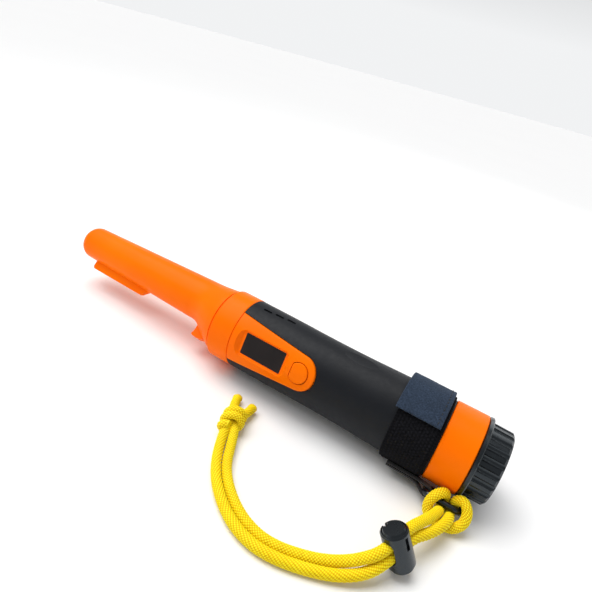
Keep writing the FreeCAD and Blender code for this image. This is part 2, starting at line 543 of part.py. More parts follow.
tab = Part.makeLoft([sect(218.0, -15.0, -15.45, 0.9), sect(233.0, -15.1, -15.5, 0.95), sect(DR_P0 - 1.0, DR_Y, DR_Z, 1.6)], True, True)
wrap = Part.makeCylinder(2.45, 2 * tw, dpl(DR_P0, -tw), V(0, DR_VY, DR_VZ))
tab = tab.fuse(wrap).cut(Part.makeCylinder(DR_ROD + 0.03, 2 * tw + 2, dpl(DR_P0, -tw - 1), V(0, DR_VY, DR_VZ)))
tab = tab.cut(cyl(BAND_R1 + 0.02, 210, 240))
put("strap_tab", tab)

# ------------------------------------------------------------------ lanyard cord (row frame)
# Both halves of one doubled cord; they start at the middle of the hitch's bight.
cord_a = [(116.0, -30.4, 2.25), (112.3, -30.2, 2.5), (109.3, -28.6, 5.0), (109.3, -26.2, 8.8), (111.6, -23.6, 11.3), (114.2, -20.4, 11.2),
          (115.4, -18.3, 8.8), (115.6, -18.3, 5.6), (115.5, -20.6, 3.3), (115.3, -24.0, 3.7), (114.9, -27.8, 6.4), (113.6, -33.4, 9.0),
          (110.4, -42.4, 12.2), (106.2, -51.6, 14.3), (101.7, -65.6, 11.6), (96.0, -70.6, 8.0), (90.0, -73.6, 4.7),
          (83.4, -76.2, 2.7), (76.6, -79.2, 2.25), (68.9, -81.9, 2.25), (61.1, -82.8, 2.25), (52.7, -81.0, 2.25), (44.7, -76.9, 2.25),
          (36.7, -70.5, 2.25), (31.0, -63.4, 2.25), (27.1, -55.2, 2.7), (23.2, -47.6, 4.4), (17.2, -40.6, 5.0), (12.8, -34.0, 3.8), (10.8, -27.6, 2.6)]
cord_b = [(116.0, -30.4, 2.25), (120.2, -30.6, 2.3), (124.4, -29.0, 3.2), (127.2, -26.0, 6.0), (127.0, -23.2, 9.4), (124.6, -21.2, 11.8),
          (122.0, -19.8, 11.7), (120.2, -18.5, 9.0), (119.9, -18.3, 5.6), (119.9, -20.6, 3.3), (119.9, -24.0, 3.6), (119.7, -28.0, 6.1),
          (118.4, -34.2, 7.6), (114.4, -43.0, 8.8), (108.6, -51.6, 10.4), (104.1, -65.6, 7.6), (99.2, -72.6, 4.8),
          (91.0, -78.4, 2.8), (81.0, -83.0, 2.25), (70.3, -86.4, 2.25), (60.9, -87.4, 2.25), (51.3, -85.4, 2.25), (42.3, -80.8, 2.25),
          (33.4, -73.7, 2.25), (27.1, -65.7, 2.25), (22.6, -57.2, 2.7), (19.4, -49.6, 4.4), (19.6, -41.4, 5.2), (21.4, -34.8, 4.0), (20.4, -28.6, 2.8)]


def cord(name, pts):
    s, length, radii, path = wire_path(pts, CORD_D / 2)
    vol = math.pi * (CORD_D / 2) ** 2 * length
    runs = [(V(*pts[i + 1]) - V(*pts[i])).Length for i in range(len(pts) - 1)]
    print("%s length %.1f  volume / (section x length) %.4f" % (name, length, s.Volume / vol))
    print("   radii", [round(r, 1) for r in radii])
    print("   runs", [round(r, 1) for r in runs])
    put(name, s, moved=False)
    return s


sa = cord("lanyard_a", cord_a)
sb = cord("lanyard_b", cord_b)

# overhand knot that joins the two halves
KNOT = V(19.6, -44.2, 5.3)
kn = Part.makeSphere(1.0)
m = FreeCAD.Matrix()
m.scale(6.4, 5.6, 5.2)
kn = kn.transformGeometry(m)
kn.rotate(V(0, 0, 0), V(0, 0, 1), -55)
kn.translate(KNOT)
put("lanyard_knot", kn, moved=False)

# ------------------------------------------------------------------ cord lock (row frame)
LB, LU = V(*LOCK_BASE), V(*LOCK_AX)
LU.normalize()
LY = V(0.303, 0.935, 0.185)
LY = LY - LU * LY.dot(LU)
LY.normalize()
LX = LY.cross(LU)


def lbox(h0, h1, half):
    """Box along the lock's cord hole; h is the height along the lock's axis."""
    p = [LB + LU * h0 - LX * half - LY * 12, LB + LU * h0 + LX * half - LY * 12, LB + LU * h1 + LX * half - LY * 12, LB + LU * h1 - LX * half - LY * 12]
    return Part.Face(Part.makePolygon(p + [p[0]])).extrude(LY * 24)


def slot_hole(h0, h1, half):
    """Round-ended hole through the lock, square to its axis."""
    s = lbox(h0 + half, h1 - half, half)
    for h in (h0 + half, h1 - half):
        s = s.fuse(Part.makeCylinder(half, 24, LB + LU * h - LY * 12, LY))
    return s


HOLE0, HOLE1, HALF = 4.75, 14.25, 2.55
bar_pts = [(0, 0), (LOCK_R - 1.3, 0), (LOCK_R - 0.9, 0.4), (LOCK_R - 0.9, 1.1), (LOCK_R, 1.9), (LOCK_R, LOCK_LEN - 0.6), (LOCK_R - 0.5, LOCK_LEN), (0, LOCK_LEN)]
e = []
pp = [LB + LX * r + LU * h for r, h in bar_pts]
barrel = Part.Face(Part.makePolygon(pp + [pp[0]])).revolve(LB, LU, 360)
barrel = barrel.cut(Part.makeCylinder(LOCK_BORE, LOCK_LEN, LB + LU * 1.3, LU))
barrel = barrel.cut(slot_hole(HOLE0, HOLE1, HALF))
# guide slot beside the hole, near the top
g = [LB + LU * 9.8 + LX * 3.0 - LY * 0.75, LB + LU * 9.8 + LX * 8.0 - LY * 0.75, LB + LU * 9.8 + LX * 8.0 + LY * 0.75, LB + LU * 9.8 + LX * 3.0 + LY * 0.75]
barrel = barrel.cut(Part.Face(Part.makePolygon(g + [g[0]])).extrude(LU * 5.2))


def rim_notch(h, half, inner):
    """Notch in the rim, on the side away from the guide slot."""
    p = [LB + LU * h - LX * inner - LY * half, LB + LU * h - LX * 8.0 - LY * half, LB + LU * h - LX * 8.0 + LY * half, LB + LU * h - LX * inner + LY * half]
    return Part.Face(Part.makePolygon(p + [p[0]])).extrude(LU * 6)


barrel = barrel.cut(rim_notch(LOCK_LEN - 1.9, 0.85, 4.0))
put("lock_barrel", barrel, moved=False)

PL0 = 4.1
plun_pts = [(0, PL0), (PLUN_R, PL0), (PLUN_R, PLUN_TOP - 0.7), (PLUN_R - 0.6, PLUN_TOP), (0, PLUN_TOP)]
pp = [LB + LX * r + LU * h for r, h in plun_pts]
plunger = Part.Face(Part.makePolygon(pp + [pp[0]])).revolve(LB, LU, 360)
plunger = plunger.cut(slot_hole(HOLE0 + 0.1, HOLE1 + PLUN_TRAVEL + 0.05, HALF))
# notch in line with the one in the rim
plunger = plunger.cut(rim_notch(PLUN_TOP - 2.1, 1.0, 2.9))
put("lock_plunger", plunger, moved=False)

# coil spring between the barrel's floor and the plunger
turns = 2.5
hx = Part.makeHelix((PL0 - 1.35 - 0.75) / turns, PL0 - 1.35 - 0.75, 2.6)
pf = Part.Wire([Part.Circle(V(2.6, 0, 0), V(0, 1, 0), 0.33).toShape()])
spr = Part.Wire(hx.Edges).makePipeShell([pf], True, True)
rot = FreeCAD.Rotation(V(0, 0, 1), LU)
spr.Placement = FreeCAD.Placement(LB + LU * (1.3 + 0.37), rot)
put("lock_spring", spr, moved=False)

print(len(made), "nodes")
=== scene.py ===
import json
import math

import bpy
import numpy as np
from mathutils import Matrix, Vector, noise


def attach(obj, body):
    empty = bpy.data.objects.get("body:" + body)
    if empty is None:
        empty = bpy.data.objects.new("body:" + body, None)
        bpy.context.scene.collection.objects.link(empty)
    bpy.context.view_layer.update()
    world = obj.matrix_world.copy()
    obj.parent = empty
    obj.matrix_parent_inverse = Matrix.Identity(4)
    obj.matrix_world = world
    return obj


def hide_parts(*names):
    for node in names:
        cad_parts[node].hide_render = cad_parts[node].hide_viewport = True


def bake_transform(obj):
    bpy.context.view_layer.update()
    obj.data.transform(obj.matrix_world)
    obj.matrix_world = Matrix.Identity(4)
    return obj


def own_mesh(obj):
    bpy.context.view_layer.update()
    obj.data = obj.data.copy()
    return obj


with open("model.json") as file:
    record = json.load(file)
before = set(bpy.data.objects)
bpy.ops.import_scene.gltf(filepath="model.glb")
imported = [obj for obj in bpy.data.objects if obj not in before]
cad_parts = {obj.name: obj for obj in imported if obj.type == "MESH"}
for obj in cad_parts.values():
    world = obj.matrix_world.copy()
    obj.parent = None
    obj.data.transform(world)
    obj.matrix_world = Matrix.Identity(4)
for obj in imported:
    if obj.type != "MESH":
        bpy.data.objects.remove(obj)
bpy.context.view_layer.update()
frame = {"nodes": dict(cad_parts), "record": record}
nodes = frame["nodes"]
scene = bpy.context.scene
scene.view_settings.view_transform = "Standard"

HALF = 0.1307      # half of the probe's length; x = a - HALF
AXIS = 0.02055     # height of the handle's axis

# ------------------------------------------------------------------ camera
cam_data = bpy.data.cameras.new("camera")
cam = bpy.data.objects.new("camera", cam_data)
scene.collection.objects.link(cam)
scene.camera = cam
cam_data.sensor_width = 36.0
cam_data.lens = 29.135
cam_data.clip_start, cam_data.clip_end = 0.005, 50
right = Vector((0.8433, 0.4823, 0.2374)).normalized()
fwd = Vector((-0.3429, 0.8228, -0.4533)).normalized()
up = right.cross(fwd).normalized()
right = fwd.cross(up)
cam.matrix_world = Matrix((
    (right.x, up.x, -fwd.x, 0.09613),
    (right.y, up.y, -fwd.y, -0.19474),
    (right.z, up.z, -fwd.z, 0.16148),
    (0, 0, 0, 1)))


# ------------------------------------------------------------------ helpers
def link(o):
    scene.collection.objects.link(o)
    return o


def mesh_object(name, verts, faces, mat, smooth=True):
    me = bpy.data.meshes.new(name)
    me.from_pydata([tuple(map(float, v)) for v in verts], [], faces)
    me.update()
    if smooth:
        me.polygons.foreach_set("use_smooth", [True] * len(me.polygons))
    me.materials.append(mat)
    return link(bpy.data.objects.new(name, me))


def point_value(me, name, values):
    at = me.attributes.new(name, "FLOAT", "POINT")
    at.data.foreach_set("value", np.asarray(values, np.float32))


def on_handle(x, r, th):
    t = math.radians(th)
    return (x, -math.cos(t) * r, AXIS + math.sin(t) * r)


def new_mat(name):
    m = bpy.data.materials.new(name)
    m.use_nodes = True
    return m, m.node_tree, m.node_tree.nodes["Principled BSDF"]


def node(nt, kind, **props):
    n = nt.nodes.new(kind)
    for k, v in props.items():
        setattr(n, k, v)
    return n


def noise_tex(nt, coord, scale, detail=3.0, rough=0.5):
    n = node(nt, "ShaderNodeTexNoise")
    n.inputs["Scale"].default_value = scale
    n.inputs["Detail"].default_value = detail
    n.inputs["Roughness"].default_value = rough
    nt.links.new(coord, n.inputs["Vector"])
    return n.outputs["Fac"]


def ramp(nt, fac, lo, hi, a, b):
    n = node(nt, "ShaderNodeMapRange")
    n.inputs["From Min"].default_value = lo
    n.inputs["From Max"].default_value = hi
    n.inputs["To Min"].default_value = a
    n.inputs["To Max"].default_value = b
    nt.links.new(fac, n.inputs["Value"])
    return n.outputs["Result"]


def mix_col(nt, fac, c0, c1):
    n = node(nt, "ShaderNodeMix", data_type="RGBA")
    if isinstance(fac, (int, float)):
        n.inputs["Factor"].default_value = fac
    else:
        nt.links.new(fac, n.inputs["Factor"])
    for sock, c in ((n.inputs[6], c0), (n.inputs[7], c1)):
        if isinstance(c, tuple):
            sock.default_value = (*c, 1)
        else:
            nt.links.new(c, sock)
    return n.outputs[2]


def math_node(nt, op, a, b=None):
    n = node(nt, "ShaderNodeMath", operation=op)
    for i, v in enumerate((a, b)):
        if v is None:
            continue
        if isinstance(v, (int, float)):
            n.inputs[i].default_value = v
        else:
            nt.links.new(v, n.inputs[i])
    return n.outputs[0]


def bump(nt, bsdf, height, strength, distance):
    n = node(nt, "ShaderNodeBump")
    n.inputs["Strength"].default_value = strength
    n.inputs["Distance"].default_value = distance
    nt.links.new(height, n.inputs["Height"])
    nt.links.new(n.outputs["Normal"], bsdf.inputs["Normal"])


def moulded(name, base, alt, rough, grain=2600.0, depth=0.00004, strength=0.25, patch=45.0, var=0.05,
            metallic=0.0, coat=0.0, coat_rough=0.1, sheen=0.0, spec=0.5, tint=(1.0, 1.0, 1.0)):
    """Moulded, cast or drawn surface: slow colour drift, fine grain, uneven gloss."""
    m, nt, b = new_mat(name)
    co = node(nt, "ShaderNodeTexCoord").outputs["Object"]
    slow = noise_tex(nt, co, patch, 2.0)
    fine = noise_tex(nt, co, grain, 2.0)
    mid = noise_tex(nt, co, grain * 0.12, 4.0, 0.6)
    nt.links.new(mix_col(nt, ramp(nt, slow, 0.3, 0.7, 0.0, 1.0), base, alt), b.inputs["Base Color"])
    nt.links.new(ramp(nt, mid, 0.25, 0.75, rough - var, rough + var), b.inputs["Roughness"])
    b.inputs["Metallic"].default_value = metallic
    b.inputs["Specular IOR Level"].default_value = spec
    b.inputs["Specular Tint"].default_value = (*tint, 1)
    b.inputs["Coat Weight"].default_value = coat
    b.inputs["Coat Roughness"].default_value = coat_rough
    b.inputs["Sheen Weight"].default_value = sheen
    bump(nt, b, fine, strength, depth)
    return m


# ------------------------------------------------------------------ materials
M = {}
M["orange_shell"] = moulded("orange_plastic", (1.0, 0.152, 0.0), (1.0, 0.184, 0.0), 0.34, 1900.0, 0.00003, 0.18, 26.0, 0.05, spec=0.055)
M["grip_rubber"] = moulded("grip_rubber_black", (0.0046, 0.0056, 0.0080), (0.0085, 0.0098, 0.0130), 0.48, 3300.0, 0.00006, 0.5, 26.0, 0.07, sheen=0.012, spec=0.17)
M["black_plastic"] = moulded("black_satin_plastic", (0.0024, 0.0028, 0.0036), (0.0046, 0.0052, 0.0066), 0.25, 2400.0, 0.00003, 0.12, 60.0, 0.05, spec=0.60, tint=(0.80, 0.92, 1.0))
M["seal_rubber"] = moulded("seal_rubber_black", (0.015, 0.015, 0.015), (0.03, 0.03, 0.03), 0.5, 2600.0, 0.00003, 0.3)
M["chip"] = moulded("chip_epoxy", (0.02, 0.02, 0.02), (0.04, 0.04, 0.04), 0.5, 5200.0, 0.00003, 0.5)
M["steel"] = moulded("steel_plain", (0.56, 0.56, 0.58), (0.66, 0.66, 0.68), 0.3, 3800.0, 0.00002, 0.3, 90.0, 0.08, metallic=1.0)
M["ferrite"] = moulded("ferrite_fired", (0.055, 0.055, 0.06), (0.09, 0.088, 0.088), 0.62, 4200.0, 0.00005, 0.6)
M["white_plastic"] = moulded("nylon_natural", (0.70, 0.69, 0.65), (0.79, 0.78, 0.73), 0.45, 2200.0, 0.00003, 0.25)
M["foam"] = moulded("foam_cells", (0.06, 0.06, 0.065), (0.11, 0.11, 0.115), 0.9, 1800.0, 0.0002, 0.9, 200.0, 0.05, sheen=0.2)
M["battery_case"] = moulded("battery_case_paint", (0.08, 0.10, 0.14), (0.12, 0.14, 0.19), 0.35, 1900.0, 0.00003, 0.2, 50.0, 0.06, metallic=0.3, coat=0.4)
M["wire"] = moulded("wire_insulation", (0.42, 0.02, 0.015), (0.58, 0.04, 0.025), 0.42, 2600.0, 0.00003, 0.2)


def board_mat():
    m, nt, b = new_mat("board_green")
    co = node(nt, "ShaderNodeTexCoord").outputs["Object"]
    br = node(nt, "ShaderNodeTexBrick")
    br.inputs["Scale"].default_value = 260.0
    br.inputs["Mortar Size"].default_value = 0.018
    br.inputs["Color1"].default_value = (0.010, 0.11, 0.045, 1)
    br.inputs["Color2"].default_value = (0.012, 0.14, 0.055, 1)
    br.inputs["Mortar"].default_value = (0.04, 0.24, 0.10, 1)
    nt.links.new(co, br.inputs["Vector"])
    fine = noise_tex(nt, co, 2600.0, 2.0)
    nt.links.new(br.outputs["Color"], b.inputs["Base Color"])
    nt.links.new(ramp(nt, fine, 0.2, 0.8, 0.24, 0.36), b.inputs["Roughness"])
    bump(nt, b, br.outputs["Fac"], 0.3, 0.00003)
    return m


def copper_mat():
    m, nt, b = new_mat("copper_windings")
    co = node(nt, "ShaderNodeTexCoord").outputs["Object"]
    wv = node(nt, "ShaderNodeTexWave", bands_direction="X")
    wv.inputs["Scale"].default_value = 900.0
    wv.inputs["Distortion"].default_value = 0.35
    nt.links.new(co, wv.inputs["Vector"])
    nt.links.new(mix_col(nt, wv.outputs["Fac"], (0.30, 0.10, 0.035), (0.78, 0.34, 0.14)), b.inputs["Base Color"])
    b.inputs["Metallic"].default_value = 1.0
    nt.links.new(ramp(nt, noise_tex(nt, co, 700.0), 0.3, 0.7, 0.25, 0.4), b.inputs["Roughness"])
    bump(nt, b, wv.outputs["Fac"], 0.6, 0.00008)
    return m


def window_mat():
    """Dark display glass: faint dust and a softly uneven polish over a near-black display."""
    m, nt, b = new_mat("display_glass")
    co = node(nt, "ShaderNodeTexCoord").outputs["Object"]
    slow = noise_tex(nt, co, 70.0, 2.0)
    dust = noise_tex(nt, co, 5200.0, 1.0)
    base = mix_col(nt, ramp(nt, slow, 0.3, 0.7, 0.0, 1.0), (0.0100, 0.0072, 0.0070), (0.0165, 0.0120, 0.0115))
    nt.links.new(mix_col(nt, ramp(nt, dust, 0.76, 0.84, 0.0, 0.2), base, (0.04, 0.036, 0.036)), b.inputs["Base Color"])
    nt.links.new(ramp(nt, slow, 0.2, 0.8, 0.16, 0.30), b.inputs["Roughness"])
    b.inputs["Specular IOR Level"].default_value = 0.16
    bump(nt, b, slow, 0.05, 0.0002)
    return m


def pile_mat():
    """Black loop pile: a fuzzy net of tiny loops, with painted shade between the loops and a painted highlight,
    greyer, where the loops stand up.
    """
    m, nt, b = new_mat("loop_pile_black")
    co = node(nt, "ShaderNodeTexCoord").outputs["Object"]
    h = node(nt, "ShaderNodeAttribute", attribute_name="pile").outputs["Fac"]
    fine = noise_tex(nt, co, 3600.0, 3.0, 0.7)
    # painted shade and highlight: the pile height mask times fine fibre noise, near black in the hollows and greyer on
    # the loop tops
    loop_shade_and_fibre_tone = math_node(nt, "MULTIPLY", h, ramp(nt, fine, 0.35, 0.72, 0.1, 1.0))
    nt.links.new(mix_col(nt, loop_shade_and_fibre_tone, (0.0008, 0.0008, 0.0011), (0.026, 0.026, 0.032)), b.inputs["Base Color"])
    b.inputs["Roughness"].default_value = 0.92
    b.inputs["Sheen Weight"].default_value = 0.01
    b.inputs["Sheen Roughness"].default_value = 0.4
    b.inputs["Specular IOR Level"].default_value = 0.06
    bump(nt, b, fine, 0.8, 0.00015)
    return m


def hook_mat():
    """Back of the hook tape: a close weave in blue-black yarn with paler and darker flecks, and painted shade in the
    hollows of the weave.
    """
    m, nt, b = new_mat("hook_tape_blue_black")
    co = node(nt, "ShaderNodeTexCoord").outputs["Object"]
    h = node(nt, "ShaderNodeAttribute", attribute_name="weave").outputs["Fac"]
    fleck = noise_tex(nt, co, 1500.0, 4.0, 0.75)
    slow = noise_tex(nt, co, 140.0, 3.0)
    base = mix_col(nt, ramp(nt, fleck, 0.36, 0.66, 0.0, 1.0), (0.014, 0.024, 0.042), (0.042, 0.064, 0.108))
    base = mix_col(nt, ramp(nt, slow, 0.35, 0.7, 0.0, 0.35), base, (0.021, 0.032, 0.053))
    # painted shade: the colour darkens towards near black where the weave mask is low, in the hollows between yarns
    nt.links.new(mix_col(nt, ramp(nt, h, 0.0, 1.0, 0.45, 0.0), base, (0.006, 0.008, 0.011)), b.inputs["Base Color"])
    b.inputs["Roughness"].default_value = 0.86
    b.inputs["Sheen Weight"].default_value = 0.07
    b.inputs["Sheen Roughness"].default_value = 0.45
    b.inputs["Sheen Tint"].default_value = (0.55, 0.68, 0.9, 1)
    b.inputs["Specular IOR Level"].default_value = 0.15
    bump(nt, b, fleck, 0.6, 0.00012)
    return m


def webbing_mat():
    m, nt, b = new_mat("webbing_black")
    co = node(nt, "ShaderNodeTexCoord").outputs["Object"]
    h = node(nt, "ShaderNodeAttribute", attribute_name="weave").outputs["Fac"]
    fine = noise_tex(nt, co, 3000.0, 3.0, 0.6)
    # painted shade and highlight: near black in the hollows of the weave, lighter on its ribs, broken by fine noise
    nt.links.new(mix_col(nt, math_node(nt, "MULTIPLY", h, fine), (0.005, 0.005, 0.006), (0.042, 0.042, 0.046)), b.inputs["Base Color"])
    b.inputs["Roughness"].default_value = 0.75
    b.inputs["Sheen Weight"].default_value = 0.12
    bump(nt, b, fine, 0.5, 0.0001)
    return m


def thread_mat(name, c0, c1):
    m, nt, b = new_mat(name)
    co = node(nt, "ShaderNodeTexCoord").outputs["Object"]
    wv = node(nt, "ShaderNodeTexWave", bands_direction="DIAGONAL")
    wv.inputs["Scale"].default_value = 1500.0
    nt.links.new(co, wv.inputs["Vector"])
    nt.links.new(mix_col(nt, wv.outputs["Fac"], c0, c1), b.inputs["Base Color"])
    b.inputs["Roughness"].default_value = 0.6
    bump(nt, b, wv.outputs["Fac"], 0.5, 0.00004)
    return m


def cord_mat():
    """Braided cord: yellow yarn with a painted highlight on the strand crowns and painted shade in the valleys, with
    filaments along each strand.
    """
    m, nt, b = new_mat("cord_braid_yellow")
    tc = node(nt, "ShaderNodeTexCoord")
    co = tc.outputs["Object"]
    h = node(nt, "ShaderNodeAttribute", attribute_name="braid").outputs["Fac"]
    slow = noise_tex(nt, co, 120.0, 2.0)
    fil = node(nt, "ShaderNodeAttribute", attribute_name="yarn").outputs["Fac"]
    fibre = math_node(nt, "SINE", math_node(nt, "MULTIPLY", fil, 6.2832 * 5))
    bright = mix_col(nt, ramp(nt, slow, 0.3, 0.7, 0.0, 1.0), (1.0, 0.76, 0.001), (1.0, 0.84, 0.006))
    bright = mix_col(nt, ramp(nt, fibre, -1.0, 1.0, 0.0, 0.14), bright, (0.92, 0.62, 0.001))
    # painted highlight: paler, whiter yellow on the crowns of the braid
    bright = mix_col(nt, ramp(nt, h, 0.62, 0.95, 0.0, 0.55), bright, (1.0, 0.98, 0.09))
    # painted shade: deep orange-yellow in the valleys of the braid
    nt.links.new(mix_col(nt, ramp(nt, h, 0.08, 0.60, 1.0, 0.0), bright, (0.70, 0.34, 0.0)), b.inputs["Base Color"])
    b.inputs["Roughness"].default_value = 0.5
    b.inputs["Sheen Weight"].default_value = 0.02
    b.inputs["Sheen Tint"].default_value = (1.0, 0.9, 0.4, 1)
    b.inputs["Specular IOR Level"].default_value = 0.12
    bump(nt, b, fibre, 0.25, 0.00004)
    return m


M["board"] = board_mat()
M["copper"] = copper_mat()
M["window"] = window_mat()
M["loop_fabric"] = pile_mat()
M["hook_fabric"] = hook_mat()
M["webbing"] = webbing_mat()
M["cord_yellow"] = cord_mat()
THREAD = thread_mat("stitch_thread_dark", (0.004, 0.005, 0.007), (0.012, 0.014, 0.018))
MELT = moulded("cord_melted_end", (0.82, 0.52, 0.004), (0.95, 0.70, 0.010), 0.3, 1500.0, 0.00012, 0.6, 400.0, 0.08)

for sp in frame["record"]["subparts"]:
    o = nodes[sp["node"]]
    o.data.materials.clear()
    o.data.materials.append(M[sp["material_slot"]])

# ------------------------------------------------------------------ lanyard cord
CORD_D = 0.0046
route_a = [(0.1160, -0.0288, 0.0024), (0.1128, -0.0287, 0.0027), (0.1103, -0.0277, 0.0051), (0.1101, -0.0260, 0.0088), (0.1118, -0.0235, 0.0113),
           (0.1142, -0.0204, 0.0112), (0.1154, -0.0183, 0.0088), (0.1156, -0.0183, 0.0056), (0.1155, -0.0206, 0.0033), (0.1153, -0.0240, 0.0038),
           (0.1149, -0.0278, 0.0071), (0.1136, -0.0334, 0.0093), (0.1104, -0.0424, 0.0122), (0.1062, -0.0516, 0.0143), (0.1017, -0.0656, 0.0116),
           (0.0960, -0.0706, 0.0080), (0.0900, -0.0738, 0.0047), (0.0834, -0.0766, 0.0027), (0.0766, -0.0795, 0.0024), (0.0689, -0.0821, 0.0024),
           (0.0611, -0.0829, 0.0024), (0.0527, -0.0811, 0.0024), (0.0447, -0.0770, 0.0024), (0.0367, -0.0706, 0.0024), (0.0310, -0.0635, 0.0024),
           (0.0271, -0.0552, 0.0028), (0.0232, -0.0476, 0.0044), (0.0172, -0.0406, 0.0050), (0.0128, -0.0340, 0.0038), (0.0108, -0.0276, 0.0026)]
route_b = [(0.1160, -0.0288, 0.0024), (0.1196, -0.0290, 0.0024), (0.1233, -0.0280, 0.0032), (0.1259, -0.0256, 0.0060), (0.1258, -0.0230, 0.0094),
           (0.1238, -0.0211, 0.0118), (0.1218, -0.0198, 0.0117), (0.1202, -0.0185, 0.0090), (0.1199, -0.0183, 0.0056), (0.1199, -0.0206, 0.0033),
           (0.1199, -0.0240, 0.0037), (0.1197, -0.0280, 0.0068), (0.1184, -0.0342, 0.0079), (0.1144, -0.0430, 0.0088), (0.1086, -0.0516, 0.0104),
           (0.1041, -0.0656, 0.0076), (0.0992, -0.0726, 0.0048), (0.0910, -0.0782, 0.0028), (0.0810, -0.0828, 0.0024), (0.0703, -0.0863, 0.0024),
           (0.0609, -0.0874, 0.0024), (0.0513, -0.0855, 0.0024), (0.0423, -0.0809, 0.0024), (0.0334, -0.0738, 0.0024), (0.0271, -0.0657, 0.0024),
           (0.0226, -0.0572, 0.0028), (0.0194, -0.0496, 0.0044), (0.0196, -0.0414, 0.0052), (0.0214, -0.0348, 0.0040), (0.0204, -0.0286, 0.0028)]


def spline_points(name, route, res):
    """Points of the smooth NURBS line through a route's control points, from a curve with no bevel."""
    cu = bpy.data.curves.new(name, "CURVE")
    cu.dimensions = "3D"
    sp = cu.splines.new("NURBS")
    sp.points.add(len(route) - 1)
    for p, c in zip(sp.points, route):
        p.co = (*c, 1)
    sp.order_u = 3
    sp.use_endpoint_u = True
    sp.resolution_u = res
    cu.resolution_u = res
    o = link(bpy.data.objects.new(name, cu))
    bpy.context.view_layer.update()
    me = bpy.data.meshes.new_from_object(o)
    pts = np.array([v.co for v in me.vertices], float).reshape(-1, 3)
    bpy.data.objects.remove(o)
    bpy.data.meshes.remove(me)
    bpy.data.curves.remove(cu)
    keep = np.r_[True, np.linalg.norm(np.diff(pts, axis=0), axis=1) > 1e-6]
    return pts[keep]


def braid_tube(name, pts, radius, cols=10, cell=0.00132, depth=0.00042, around=60, start_dir=(0, 0, 1), flat=None, twist=0.0, taper=0.0):
    """Tube along pts whose surface is a round braid: two sets of strands crossing, one over one under."""
    m = len(pts)
    seg = np.linalg.norm(np.diff(pts, axis=0), axis=1)
    s = np.r_[0, np.cumsum(seg)]
    tan = np.gradient(pts, s, axis=0)
    tan /= np.linalg.norm(tan, axis=1)[:, None]
    nrm = np.zeros_like(pts)
    n0 = np.array(start_dir, float)
    n0 -= tan[0] * (n0 @ tan[0])
    nrm[0] = n0 / np.linalg.norm(n0)
    for i in range(1, m):
        v = nrm[i - 1] - tan[i] * (nrm[i - 1] @ tan[i])
        nrm[i] = v / np.linalg.norm(v)
    bin_ = np.cross(tan, nrm)
    phi = np.arange(around) / around * 2 * math.pi
    p = np.broadcast_to(phi / (2 * math.pi) * cols, (m, around)) + (s * twist)[:, None]
    q = np.broadcast_to((s / cell)[:, None], (m, around))
    a, b = p + q, p - q
    sa, sb = np.abs(np.sin(math.pi * a)), np.abs(np.sin(math.pi * b))
    par = ((np.floor(a) + np.floor(b)) % 2).astype(bool)
    h = np.where(par, sa ** 0.85 * sb ** 0.6, sa ** 0.6 * sb ** 0.85)
    yarn = np.where(par, a, b)
    rr = radius - depth + depth * h
    if taper:
        e = np.minimum(1, np.minimum(s, s[-1] - s) / taper)
        rr = rr * (0.55 + 0.45 * np.sqrt(np.clip(e, 0, 1)))[:, None]
    c, d = np.cos(phi), np.sin(phi)
    off = nrm[:, None, :] * c[None, :, None] + bin_[:, None, :] * d[None, :, None]
    if flat is not None:
        off = off * np.array(flat)[None, None, :]
    v = pts[:, None, :] + off * rr[:, :, None]
    verts = [tuple(x) for x in v.reshape(-1, 3)]
    faces = []
    for i in range(m - 1):
        k, n = i * around, (i + 1) * around
        for j in range(around):
            j2 = (j + 1) % around
            faces.append((k + j, k + j2, n + j2, n + j))
    hv, yv = list(h.ravel()), list(yarn.ravel())
    for end, sign in ((0, -1), (m - 1, 1)):
        base = len(verts)
        cen = pts[end] + tan[end] * sign * radius * 0.22
        ring = end * around
        verts += [tuple(pts[end] + tan[end] * sign * radius * 0.16 + off[end, j] * rr[end, j] * 0.62) for j in range(around)] + [tuple(cen)]
        hv += [0.5] * (around + 1)
        yv += [0.0] * (around + 1)
        for j in range(around):
            j2 = (j + 1) % around
            f1 = (ring + j, ring + j2, base + j2, base + j)
            f2 = (base + j, base + j2, base + around)
            faces.append(f1 if sign > 0 else tuple(reversed(f1)))
            faces.append(f2 if sign > 0 else tuple(reversed(f2)))
    # from_pydata winding: keep normals outward
    o = mesh_object(name, verts, faces, M["cord_yellow"])
    # the braid relief height, also the mask for the cord's painted highlight and painted shade
    point_value(o.data, "braid", hv)
    point_value(o.data, "yarn", yv)
    return o


RES = 36
line_a = spline_points("line_a", route_a, RES)
line_b = spline_points("line_b", route_b, RES)
cord_a = braid_tube("cord_a", line_a, CORD_D / 2, around=60)
cord_b = braid_tube("cord_b", line_b, CORD_D / 2, around=60, twist=260.0)

# overhand knot: two strands wound round the pair, diving under at both ends
KNOT = Vector((0.0196, -0.0442, 0.0058))
k_ax = Vector((-0.30, 0.95, 0.0)).normalized()
k_side = Vector((k_ax.y, -k_ax.x, 0.0))
k_up = Vector((0, 0, 1))


def wrap_line(shift, phase, turns, r_out, n=420, tilt=0.0):
    pts = []
    for i in range(n):
        u = i / (n - 1)
        ang = phase + turns * 2 * math.pi * (u - 0.5)
        fade = min(1.0, min(u, 1 - u) / 0.13)
        fade = fade * fade * (3 - 2 * fade)
        r = 0.0012 + (r_out - 0.0012) * fade
        along = shift + 0.0062 * (u - 0.5) + tilt * math.cos(ang) * fade
        pts.append(KNOT + k_ax * along + k_side * (math.cos(ang) * r) + k_up * (math.sin(ang) * r * 0.92))
    return np.array([tuple(p) for p in pts])


